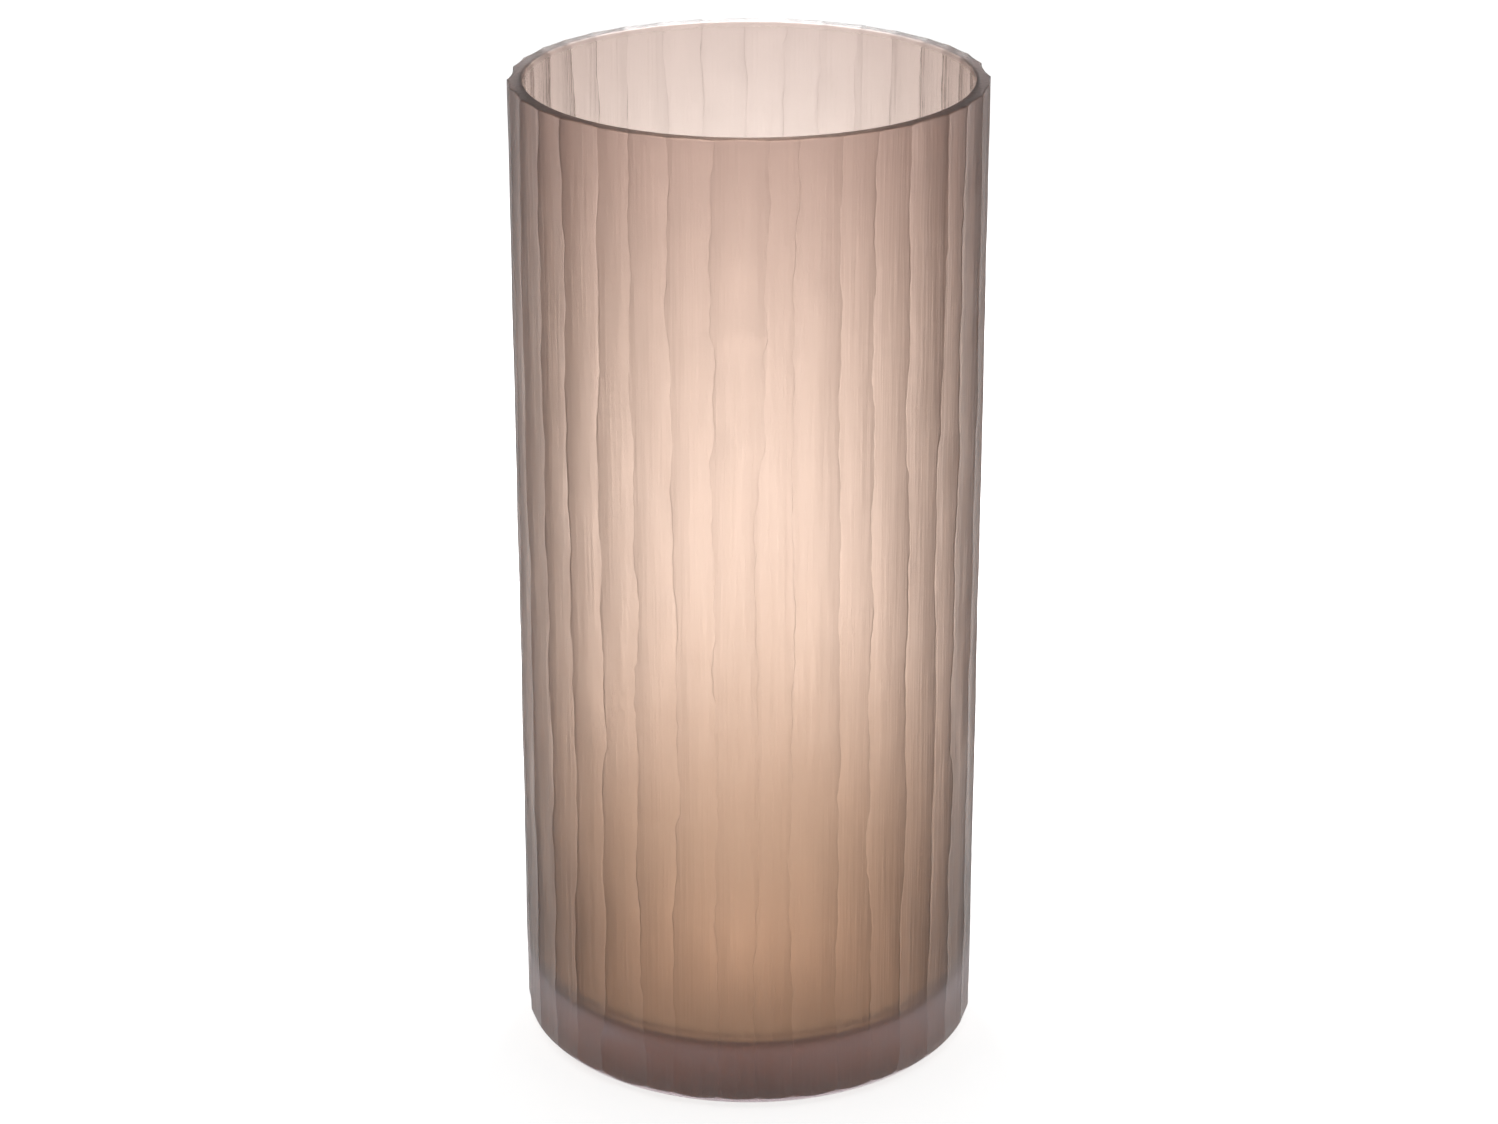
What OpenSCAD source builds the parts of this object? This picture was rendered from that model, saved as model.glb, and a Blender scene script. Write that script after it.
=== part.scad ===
// Tall cylinder vase of cased glass, standing on its foot with the base on z = 0.
// Two layers: a thick clear casing cut with upright flutes, and a thin taupe
// liner that forms the well and its floor. All sizes are in millimetres.

/* [Body] */
// Height from the foot to the rim
body_h = 400; // [300:5:500]
// Outside diameter over the ridges between flutes
body_d = 186; // [120:2:240]
// Thickness of the wall at a ridge, both layers together
wall = 6; // [4:0.5:10]
// Thickness of the solid glass under the floor of the well
base_h = 25; // [10:1:45]

/* [Flutes] */
// Number of upright flutes round the outside
flute_count = 36; // [24:4:48]
// Depth of a flute's hollow below the flat between its two ridges
flute_depth = 0.5; // [0.2:0.1:1.2]
// Turn of the first ridge away from the +X axis, in degrees
flute_turn = 1.5; // [0:0.5:10]

/* [Liner] */
// Thickness of the taupe layer
liner_t = 1.5; // [1:0.25:3]
// Radius of the inside corner between wall and floor
well_round = 10; // [2:1:15]

/* [Edges] */
// Radius of the round at the foot
foot_round = 8; // [2:0.5:10]
// Width of the small bevel on both edges of the rim
rim_bevel = 0.5; // [0.2:0.1:1]

/* [Hidden] */
$fn = 144;
body_r = body_d / 2;
well_r = body_r - wall;
skin_r = well_r + liner_t;
pitch = 360 / flute_count;
half_w = body_r * sin(pitch / 2);
flat_r = body_r * cos(pitch / 2);
cut_r = (half_w * half_w + flute_depth * flute_depth) / (2 * flute_depth);
cut_x = flat_r - flute_depth + cut_r;
blank_r = body_r + 0.3;
spare = 1;

// Half section of a round-cornered pot, from the axis outwards.
module pot_half(radius, low, high, corner) {
  translate([0, low])
    square([radius - corner, high - low]);
  translate([0, low + corner])
    square([radius, high - low - corner]);
  translate([radius - corner, low + corner])
    circle(r = corner);
}

// Small bevels cut from the two edges of the rim.
module rim_cut(radius, side) {
  polygon([
    [radius + side * spare, body_h + spare],
    [radius - side * (rim_bevel + spare), body_h + spare],
    [radius + side * spare, body_h - rim_bevel - spare]
  ]);
}

// Turned outside of the vase, before the flutes are cut. The blank is a little
// too wide, and the flutes cut all of that away, so they meet in clean ridges.
module turned_blank() {
  rotate_extrude()
    difference() {
      pot_half(blank_r, 0, body_h, foot_round);
      rim_cut(body_r, 1);
    }
}

// Hollow in the casing that the liner fills.
module casing_hollow() {
  rotate_extrude()
    pot_half(skin_r, base_h - liner_t, body_h + spare, well_round + liner_t);
}

// One upright flute, cut by a round wheel face along the whole height.
module flute() {
  translate([cut_x, 0, -spare])
    cylinder(r = cut_r, h = body_h + 2 * spare);
}

// Clear outer casing with the solid base, the flutes and the rounded foot.
module clear_casing() {
  color([0.88, 0.87, 0.86, 0.5])
    difference() {
      turned_blank();
      casing_hollow();
      for (i = [0 : flute_count - 1])
        rotate([0, 0, flute_turn + (i + 0.5) * pitch])
          flute();
    }
}

// Taupe layer lining the well: a thin tube with a closed floor.
module taupe_liner() {
  color([0.66, 0.51, 0.42, 0.7])
    rotate_extrude()
      difference() {
        pot_half(skin_r, base_h - liner_t, body_h, well_round + liner_t);
        pot_half(well_r, base_h, body_h + spare, well_round);
        rim_cut(well_r, -1);
      }
}

clear_casing();
taupe_liner();
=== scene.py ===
"""Looks of a tall cylinder vase of cased glass: satin cut flutes outside, a taupe layer inside."""

import math

import bpy
import numpy as np
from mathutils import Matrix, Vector


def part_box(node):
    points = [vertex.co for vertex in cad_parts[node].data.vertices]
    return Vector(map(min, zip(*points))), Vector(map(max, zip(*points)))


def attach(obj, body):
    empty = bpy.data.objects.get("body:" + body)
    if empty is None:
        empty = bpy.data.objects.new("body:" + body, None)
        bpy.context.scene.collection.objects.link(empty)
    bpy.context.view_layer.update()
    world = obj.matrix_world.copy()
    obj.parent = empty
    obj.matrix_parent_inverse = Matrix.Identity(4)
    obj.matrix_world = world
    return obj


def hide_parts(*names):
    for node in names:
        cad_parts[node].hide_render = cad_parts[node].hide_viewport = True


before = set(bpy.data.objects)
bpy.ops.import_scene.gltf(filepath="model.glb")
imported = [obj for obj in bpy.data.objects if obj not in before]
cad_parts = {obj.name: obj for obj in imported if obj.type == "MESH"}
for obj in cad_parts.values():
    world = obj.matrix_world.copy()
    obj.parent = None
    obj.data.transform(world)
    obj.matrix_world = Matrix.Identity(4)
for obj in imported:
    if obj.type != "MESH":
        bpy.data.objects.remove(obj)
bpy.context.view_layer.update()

# ---------------------------------------------------------------- sizes, in metres
casing_low, casing_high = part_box("clear_casing")
liner_low, liner_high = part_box("taupe_liner")
HEIGHT = casing_high.z
RIDGE_R = (casing_high.x - casing_low.x) / 2
SKIN_R = (liner_high.x - liner_low.x) / 2
LINER_T = 0.0015
WELL_R = SKIN_R - LINER_T
FLOOR_Z = liner_low.z + LINER_T
WELL_ROUND = 0.010
FOOT_ROUND = 0.008
BLANK_SPARE = 0.0003  # the turned blank is this much wider than the ridges cut from it
FOOT_FLAT_R = RIDGE_R + BLANK_SPARE - FOOT_ROUND
RIM_ROUND = 0.0006
SLIP = 0.00004  # keeps the coloured layer just inside the glass that carries it
FLOOR_GAP = 0.0003  # glass never quite touches what it stands on

# How dull a surface is: 0 is polished and 1 is ground by the wheel.
RIM_SATIN = 1.0
FOOT_SATIN = 0.3
SHINE_FROM, SHINE_TO, SHINE_FADE = -48, -30, 4  # polished stretch of the foot's round, degrees
CUT_EDGE = 0.0003  # width over which the polish gives way to a flute

FLUTES = 36
PITCH = 2 * np.pi / FLUTES
FIRST_RIDGE = math.radians(1.5)
CUT_R = 0.066  # radius of the wheel's face across a flute
WALL_STEP = 0.0013
FLUTE_POINTS = np.array([
    0, 0.012, 0.03, 0.06, 0.11, 0.18, 0.28, 0.39,
    0.5, 0.61, 0.72, 0.82, 0.89, 0.94, 0.97, 0.988,
])

# How the hand strays. A wave is (length, size), and jogs are (how many, size).
RIDGE_SPREAD = 0.055  # of a flute's width, as are the sizes of the next two
RIDGE_WAVES = [(0.23, 0.035), (0.085, 0.035), (0.030, 0.022), (0.010, 0.008)]
RIDGE_JOGS = (10, 0.045)
RIDGE_DIP = 0.00012  # mean depth of a ridge below the widest one
DIP_WAVES = [(0.11, 0.5), (0.04, 0.4)]
DEPTH_WAVES = [(0.12, 0.10), (0.045, 0.08), (0.02, 0.04)]
DEPTH_JOGS = (6, 0.10)
NICK = 0.00012  # how far a flute starts below the ridge it shares with its neighbour
NICK_MEAN, NICK_MOST = 0.6, 1.6  # shares of that, on average and at most
NICK_WAVES = [(0.16, 0.5), (0.05, 0.35), (0.015, 0.2)]
NICK_JOGS = (5, 0.3)
NICK_WIDTH = 0.03
NICK_FADE = 0.010  # height above the foot's round over which the nicks fade in

# The coloured layer's tint by height, as share of the height and tint. The stops were fitted to the
# brightness in one photograph, so they hold its light and shade as well as the layer's colour:
# painted shade darkens the layer towards the foot and towards the rim, and it is lightest at mid
# height.
# The lowest stop is the floor of the well, made lighter with painted light.
WELL_FLOOR_TINT_AND_LIGHT = (0.068, (1.0, 0.93, 0.80))
LAYER_TINTS_AND_SHADE = [
    (0.085, (0.56, 0.445, 0.345)),
    (0.25, (0.86, 0.81, 0.755)),
    (0.40, (0.97, 0.96, 0.955)),
    (0.55, (1.0, 1.0, 1.0)),
    (0.80, (0.96, 0.94, 0.935)),
]
RIM_TINT_AND_SHADE = (1.0, (0.82, 0.75, 0.75))

# The light table: its glow, the glow over its lamp, and the lamp's reach and place.
TABLE_GLOW, LAMP_GLOW, LAMP_REACH = 0.71, 2.35, 0.12
LAMP_BACK = 0.025
FLOOR_HALF = 12.0


# ---------------------------------------------------------------- hand-cut flutes
def smooth_step(x):
    """0 before 0, 1 after 1, and a smooth rise between."""
    x = np.clip(x, 0.0, 1.0)
    return x * x * (3 - 2 * x)


def waver(rng, z, waves, jogs):
    """How far a hand-guided cut strays along its height: slow waves and a few short side steps."""
    stray = np.zeros_like(z)
    for length, size in waves:
        length = length * rng.uniform(0.75, 1.3)
        stray += size * rng.uniform(0.6, 1.2) * np.sin(2 * np.pi * (z / length + rng.random()))
    count, size = jogs
    for _ in range(count):
        start, run = rng.uniform(0.0, HEIGHT), rng.uniform(0.003, 0.010)
        stray += size * rng.normal() * (smooth_step((z - start) / run) - 0.5)
    return stray


def ridges(z):
    """Angle and radius of every ridge at the heights z, each an array of heights by ridges."""
    rng = np.random.default_rng(36)
    angles, radii = [], []
    for k in range(FLUTES):
        shift = PITCH * rng.normal() * RIDGE_SPREAD
        angle = FIRST_RIDGE + PITCH * k + shift
        angle = angle + PITCH * waver(rng, z, RIDGE_WAVES, RIDGE_JOGS)
        radius = RIDGE_R - RIDGE_DIP * (1 + waver(rng, z, DIP_WAVES, (0, 0)))
        angles.append(angle)
        radii.append(np.minimum(radius, RIDGE_R))
    return np.stack(angles, 1), np.stack(radii, 1)


def fluted_rows(z):
    """Points round the fluted wall at the heights z, as x and y arrays of heights by columns."""
    rng = np.random.default_rng(72)
    angle, radius = ridges(z)
    turn = 2 * np.pi * (np.arange(FLUTES) == FLUTES - 1)
    after_angle = np.roll(angle, -1, 1) + turn
    after_radius = np.roll(radius, -1, 1)
    ax, ay = radius * np.cos(angle), radius * np.sin(angle)
    bx, by = after_radius * np.cos(after_angle), after_radius * np.sin(after_angle)
    chord = np.hypot(bx - ax, by - ay)
    depth = chord**2 / (8 * CUT_R)
    steps = np.zeros((2, *depth.shape))
    for k in range(FLUTES):
        depth[:, k] *= 1 + waver(rng, z, DEPTH_WAVES, DEPTH_JOGS)
        for side in steps:
            step = NICK_MEAN + waver(rng, z, NICK_WAVES, NICK_JOGS)
            side[:, k] = NICK * np.clip(step, 0.0, NICK_MOST)
    steps *= smooth_step((z - FOOT_ROUND) / NICK_FADE)[:, None]
    t = FLUTE_POINTS
    inward = depth[:, :, None] * 4 * t * (1 - t)
    inward += steps[0][:, :, None] * smooth_step(t / NICK_WIDTH) * (1 - t) ** 4
    inward += steps[1][:, :, None] * smooth_step((1 - t) / NICK_WIDTH) * t**4
    nx, ny = (by - ay) / chord, -(bx - ax) / chord
    x = ax[:, :, None] + (bx - ax)[:, :, None] * t - nx[:, :, None] * inward
    y = ay[:, :, None] + (by - ay)[:, :, None] * t - ny[:, :, None] * inward
    return x.reshape(len(z), -1), y.reshape(len(z), -1)


# ---------------------------------------------------------------- meshes
def arc(radius, centre_r, centre_z, degrees):
    """Points (r, z) along an arc in the half section, at angles from the outward direction."""
    a = np.radians(degrees)
    return [(centre_r + radius * math.cos(v), centre_z + radius * math.sin(v)) for v in a]


def closed_mesh(name, rings, satin, low_tip, high_tip):
    """A closed solid from rings of points, each (columns, 3), with a fan to a tip at both ends.

    satin gives each ring's dullness, which the glass reads as a point attribute.
    """
    columns = rings[0].shape[0]
    points = np.concatenate([*rings, [low_tip], [high_tip]])
    here = np.arange(columns)
    after = np.roll(here, -1)
    faces = []
    for r in range(len(rings) - 1):
        a, b = r * columns, (r + 1) * columns
        faces += np.stack([a + here, a + after, b + after, b + here], 1).tolist()
    first, last = len(points) - 2, len(points) - 1
    end = (len(rings) - 1) * columns
    faces += [(first, int(j), int(i)) for i, j in zip(here, after)]
    faces += [(end + int(i), end + int(j), last) for i, j in zip(here, after)]
    mesh = bpy.data.meshes.new(name)
    mesh.from_pydata(points.tolist(), [], faces)
    mesh.update()
    mesh.shade_smooth()
    mesh.set_sharp_from_angle(angle=math.radians(14))
    values = np.concatenate([np.broadcast_to(s, columns) for s in satin] + [[0.0], [0.0]])
    layer = mesh.attributes.new("satin", "FLOAT", "POINT")
    layer.data.foreach_set("value", values.astype(np.float32))
    piece = bpy.data.objects.new(name, mesh)
    bpy.context.collection.objects.link(piece)
    return piece


def level_ring(x, y, z):
    """A ring of points at one height."""
    return np.stack([x, y, np.full_like(x, z)], 1)


def casing_piece():
    """The whole glass wall as the eye meets it: foot, fluted outside, rim, well and floor."""
    turned_angle = FIRST_RIDGE + PITCH * (np.arange(FLUTES)[:, None] + FLUTE_POINTS).ravel()
    cos, sin = np.cos(turned_angle), np.sin(turned_angle)
    rings, satin = [], []

    def turned(radius, z, dullness=0.0):
        rings.append(level_ring(radius * cos, radius * sin, z))
        satin.append(dullness)

    for share in (0.25, 0.5, 0.75, 0.9):
        turned(FOOT_FLAT_R * share, 0.0)

    foot_angles = np.linspace(-90, -4, 44)
    foot = arc(FOOT_ROUND, FOOT_FLAT_R, FOOT_ROUND, foot_angles)
    wall_z = np.arange(FOOT_ROUND, HEIGHT - RIM_ROUND - WALL_STEP / 2, WALL_STEP)
    heights = np.concatenate([[z for _, z in foot], wall_z, [HEIGHT - RIM_ROUND]])
    limits = np.concatenate([[r for r, _ in foot], np.full(len(wall_z) + 1, RIDGE_R + FOOT_ROUND)])
    shine = smooth_step((foot_angles - SHINE_FROM) / SHINE_FADE)
    shine *= smooth_step((SHINE_TO - foot_angles) / SHINE_FADE)
    shine = (1 - FOOT_SATIN) * np.concatenate([shine, np.zeros(len(wall_z) + 1)])
    x, y = fluted_rows(heights)
    radius = np.hypot(x, y)
    kept = np.minimum(radius, limits[:, None])
    for i, z in enumerate(heights):
        scale = kept[i] / radius[i]
        rings.append(level_ring(x[i] * scale, y[i] * scale, z))
        cut = smooth_step((limits[i] - radius[i]) / CUT_EDGE + 0.5)
        satin.append(1 - shine[i] * (1 - cut))
    top_x, top_y, top_r = x[-1], y[-1], radius[-1]
    for step in (30, 60, 90):
        a = math.radians(step)
        scale = (top_r - RIM_ROUND * (1 - math.cos(a))) / top_r
        z = HEIGHT - RIM_ROUND * (1 - math.sin(a))
        rings.append(level_ring(top_x * scale, top_y * scale, z))
        satin.append(RIM_SATIN)
    for r, z in arc(RIM_ROUND, WELL_R + RIM_ROUND, HEIGHT - RIM_ROUND, (90, 120, 150, 180)):
        turned(r, z, RIM_SATIN)
    for z in np.linspace(HEIGHT - 0.004, FLOOR_Z + WELL_ROUND + 0.004, 40):
        turned(WELL_R, z)
    corner = np.linspace(0, -90, 13)
    for r, z in arc(WELL_ROUND, WELL_R - WELL_ROUND, FLOOR_Z + WELL_ROUND, corner):
        turned(r, z)
    for share in (0.75, 0.5, 0.25):
        turned(WELL_R * share, FLOOR_Z)
    return closed_mesh("cased_glass_body", rings, satin, (0, 0, 0), (0, 0, FLOOR_Z))


def liner_piece():
    """The thin coloured layer, a closed pot that lies just under the surface of the well."""
    columns = 180
    even = 2 * np.pi * np.arange(columns) / columns
    cos, sin = np.cos(even), np.sin(even)
    outer_r, inner_r = SKIN_R - SLIP, WELL_R + SLIP
    low, top = FLOOR_Z - LINER_T + SLIP, HEIGHT - RIM_ROUND
    profile = [(outer_r * share, low) for share in (0.3, 0.6)]
    corner = np.linspace(-90, 0, 10)
    outer_round = WELL_ROUND + LINER_T - SLIP
    profile += arc(outer_round, outer_r - outer_round, low + outer_round, corner)
    profile += [(outer_r, z) for z in np.linspace(low + outer_round + 0.01, top, 30)]
    profile += [(inner_r, z) for z in np.linspace(top, FLOOR_Z + WELL_ROUND + 0.01, 30)]
    inner_round = WELL_ROUND + SLIP
    inner_low = FLOOR_Z - SLIP
    profile += arc(inner_round, inner_r - inner_round, inner_low + inner_round, corner[::-1])
    profile += [(inner_r * share, inner_low) for share in (0.6, 0.3)]
    rings = [level_ring(r * cos, r * sin, z) for r, z in profile]
    return closed_mesh("taupe_layer", rings, [0.0] * len(rings), (0, 0, low), (0, 0, inner_low))


# ---------------------------------------------------------------- materials
def new_material(name):
    """A node material, with its nodes, its links and its Principled shader."""
    material = bpy.data.materials.new(name)
    material.use_nodes = True
    shader = material.node_tree.nodes["Principled BSDF"]
    return material, material.node_tree.nodes, material.node_tree.links, shader


def absorb(nodes, links, colour, density):
    """Plain coloured absorption inside a closed piece of glass."""
    volume = nodes.new("ShaderNodeVolumeAbsorption")
    volume.inputs["Color"].default_value = (*colour, 1)
    volume.inputs["Density"].default_value = density
    links.new(volume.outputs["Volume"], nodes["Material Output"].inputs["Volume"])


def stretched_noise(nodes, links, scale, squeeze):
    """Noise in object space whose features run upright, as grinding marks do."""
    place = nodes.new("ShaderNodeTexCoord")
    stretch = nodes.new("ShaderNodeMapping")
    stretch.inputs["Scale"].default_value = (1, 1, squeeze)
    noise = nodes.new("ShaderNodeTexNoise")
    noise.inputs["Scale"].default_value = scale
    noise.inputs["Detail"].default_value = 3.0
    links.new(place.outputs["Object"], stretch.inputs["Vector"])
    links.new(stretch.outputs["Vector"], noise.inputs["Vector"])
    return noise.outputs["Fac"]


def remap(nodes, links, value, low, high, to_low, to_high):
    """A value moved from one range to another."""
    node = nodes.new("ShaderNodeMapRange")
    node.inputs["From Min"].default_value = low
    node.inputs["From Max"].default_value = high
    node.inputs["To Min"].default_value = to_low
    node.inputs["To Max"].default_value = to_high
    links.new(value, node.inputs["Value"])
    return node.outputs["Result"]


def cut_glass():
    """Clear, faintly smoky glass: satin where the wheel has cut it, polished elsewhere."""
    material, nodes, links, shader = new_material("satin_cut_glass")
    shader.inputs["Base Color"].default_value = (1, 1, 1, 1)
    shader.inputs["Transmission Weight"].default_value = 1.0
    shader.inputs["IOR"].default_value = 1.5
    absorb(nodes, links, (0.63, 0.48, 0.53), 9.0)

    satin = nodes.new("ShaderNodeAttribute")
    satin.attribute_name = "satin"
    streaks = stretched_noise(nodes, links, 600.0, 0.03)
    patches = stretched_noise(nodes, links, 60.0, 0.3)
    rough = nodes.new("ShaderNodeMath")
    rough.operation = "ADD"
    links.new(remap(nodes, links, streaks, 0.3, 0.7, 0.41, 0.57), rough.inputs[0])
    links.new(remap(nodes, links, patches, 0.3, 0.7, -0.03, 0.03), rough.inputs[1])
    ground = nodes.new("ShaderNodeMix")
    ground.inputs["A"].default_value = 0.03
    links.new(satin.outputs["Fac"], ground.inputs["Factor"])
    links.new(rough.outputs["Value"], ground.inputs["B"])
    links.new(ground.outputs["Result"], shader.inputs["Roughness"])

    depth = nodes.new("ShaderNodeMath")
    depth.operation = "MULTIPLY"
    links.new(streaks, depth.inputs[0])
    links.new(satin.outputs["Fac"], depth.inputs[1])
    bump = nodes.new("ShaderNodeBump")
    bump.inputs["Strength"].default_value = 0.6
    bump.inputs["Distance"].default_value = 0.00045
    links.new(depth.outputs["Value"], bump.inputs["Height"])
    links.new(bump.outputs["Normal"], shader.inputs["Normal"])
    return material


def taupe_glass():
    """The coloured layer. It sits inside the glass, so light doesn't bend at its faces."""
    material, nodes, links, shader = new_material("taupe_colour_layer")
    shader.inputs["Transmission Weight"].default_value = 1.0
    shader.inputs["Roughness"].default_value = 0.0
    shader.inputs["IOR"].default_value = 1.0
    absorb(nodes, links, (0.645, 0.469, 0.338), 500.0)
    place = nodes.new("ShaderNodeTexCoord")
    split = nodes.new("ShaderNodeSeparateXYZ")
    share = nodes.new("ShaderNodeMath")
    share.operation = "DIVIDE"
    share.inputs[1].default_value = HEIGHT
    links.new(place.outputs["Object"], split.inputs["Vector"])
    links.new(split.outputs["Z"], share.inputs[0])
    # Tint by height. It is the layer's colour together with painted shade towards the foot and the
    # rim, and painted light on the well floor.
    depth = nodes.new("ShaderNodeValToRGB")
    depth.color_ramp.interpolation = "B_SPLINE"
    stops = depth.color_ramp.elements
    for stop, (position, colour) in zip(stops, (WELL_FLOOR_TINT_AND_LIGHT, RIM_TINT_AND_SHADE)):
        stop.position, stop.color = position, (*colour, 1)
    for position, colour in LAYER_TINTS_AND_SHADE:
        stops.new(position).color = (*colour, 1)
    links.new(share.outputs["Value"], depth.inputs["Fac"])
    clouds = stretched_noise(nodes, links, 14.0, 0.5)
    mottle = nodes.new("ShaderNodeMix")
    mottle.data_type = "RGBA"
    mottle.inputs["A"].default_value = (1.0, 1.0, 1.0, 1)
    mottle.inputs["B"].default_value = (0.97, 0.955, 0.94, 1)
    links.new(clouds, mottle.inputs["Factor"])
    tint = nodes.new("ShaderNodeMix")
    tint.data_type = "RGBA"
    tint.blend_type = "MULTIPLY"
    tint.inputs["Factor"].default_value = 1.0
    links.new(depth.outputs["Color"], tint.inputs["A"])
    links.new(mottle.outputs["Result"], tint.inputs["B"])
    links.new(tint.outputs["Result"], shader.inputs["Base Color"])
    return material


def pale_floor():
    """A plain white light table, which glows more over its lamp, under the vase."""
    material, nodes, links, shader = new_material("pale_floor")
    shader.inputs["Roughness"].default_value = 0.3
    shader.inputs["Emission Color"].default_value = (1, 1, 1, 1)
    place = nodes.new("ShaderNodeTexCoord")
    reach = nodes.new("ShaderNodeMapping")
    reach.vector_type = "TEXTURE"
    reach.inputs["Location"].default_value = (0, LAMP_BACK, 0)
    reach.inputs["Scale"].default_value = (LAMP_REACH, LAMP_REACH, LAMP_REACH)
    lamp = nodes.new("ShaderNodeTexGradient")
    lamp.gradient_type = "QUADRATIC_SPHERE"
    links.new(place.outputs["Object"], reach.inputs["Vector"])
    links.new(reach.outputs["Vector"], lamp.inputs["Vector"])
    glow = remap(nodes, links, lamp.outputs["Fac"], 0.0, 1.0, TABLE_GLOW, LAMP_GLOW)
    links.new(glow, shader.inputs["Emission Strength"])
    noise = nodes.new("ShaderNodeTexNoise")
    noise.inputs["Scale"].default_value = 3.0
    links.new(place.outputs["Object"], noise.inputs["Vector"])
    tint = nodes.new("ShaderNodeMix")
    tint.data_type = "RGBA"
    tint.inputs["A"].default_value = (0.82, 0.82, 0.82, 1)
    tint.inputs["B"].default_value = (0.84, 0.84, 0.84, 1)
    links.new(noise.outputs["Fac"], tint.inputs["Factor"])
    links.new(tint.outputs["Result"], shader.inputs["Base Color"])
    return material


# ---------------------------------------------------------------- the object
casing = casing_piece()
casing.data.materials.append(cut_glass())
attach(casing, "root")
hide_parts("clear_casing")

liner = liner_piece()
liner.data.materials.append(taupe_glass())
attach(liner, "root")
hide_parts("taupe_liner")


# ---------------------------------------------------------------- floor, light and camera
def floor_piece():
    """A large flat floor a hair below the foot."""
    half = FLOOR_HALF
    mesh = bpy.data.meshes.new("floor")
    corners = [(-half, -half, 0), (half, -half, 0), (half, half, 0), (-half, half, 0)]
    mesh.from_pydata(corners, [], [(0, 1, 2, 3)])
    floor = bpy.data.objects.new("floor", mesh)
    bpy.context.collection.objects.link(floor)
    floor.location.z = -FLOOR_GAP
    mesh.materials.append(pale_floor())


def soft_light(name, place, aim, size, spread, power):
    """A rectangular softbox behind a grid. It faces its aim and doesn't show itself."""
    data = bpy.data.lights.new(name, "AREA")
    data.shape = "RECTANGLE"
    data.size, data.size_y = size
    data.spread = spread
    data.energy = power
    lamp = bpy.data.objects.new(name, data)
    bpy.context.collection.objects.link(lamp)
    lamp.location = place
    lamp.rotation_euler = (Vector(aim) - Vector(place)).to_track_quat("-Z", "Y").to_euler()
    lamp.visible_camera = False


def surround(wall, middle, ceiling):
    """A studio all round: a pale wall, a dimmer stretch above it and a broad soft ceiling light."""
    world = bpy.data.worlds.new("studio")
    world.use_nodes = True
    nodes, links = world.node_tree.nodes, world.node_tree.links
    place = nodes.new("ShaderNodeTexCoord")
    split = nodes.new("ShaderNodeSeparateXYZ")
    links.new(place.outputs["Generated"], split.inputs["Vector"])
    rise = nodes.new("ShaderNodeValToRGB")
    rise.color_ramp.interpolation = "EASE"
    rise.color_ramp.elements.remove(rise.color_ramp.elements[1])
    rise.color_ramp.elements[0].position = 0.10
    rise.color_ramp.elements[0].color = (wall, wall, wall, 1)
    for position, glow in ((0.24, middle), (0.60, middle), (0.90, ceiling)):
        stop = rise.color_ramp.elements.new(position)
        stop.color = (glow, glow, glow, 1)
    links.new(split.outputs["Z"], rise.inputs["Fac"])
    links.new(rise.outputs["Color"], nodes["Background"].inputs["Color"])
    bpy.context.scene.world = world


def camera():
    """The view from the front, looking down on the vase from above its rim."""
    data = bpy.data.cameras.new("camera")
    data.lens = 91.9
    data.sensor_width = 36.0
    data.clip_start, data.clip_end = 0.05, 50.0
    eye = bpy.data.objects.new("camera", data)
    bpy.context.collection.objects.link(eye)
    eye.rotation_mode = "XYZ"
    eye.location = (0.0, -1.4313, 0.7756)
    eye.rotation_euler = (math.radians(90 - 21.95), 0, 0)
    bpy.context.scene.camera = eye


floor_piece()
surround(wall=1.03, middle=0.2, ceiling=0.72)
soft_light(
    "strip_above_behind", place=(0.0, 0.64, 0.62), aim=(0.0, 0.64, 0.0),
    size=(0.12, 0.9), spread=math.radians(62), power=2.6,
)
camera()
scene = bpy.context.scene
scene.view_settings.view_transform = "Standard"
scene.cycles.max_bounces = 32
scene.cycles.transmission_bounces = 32
scene.cycles.transparent_max_bounces = 16
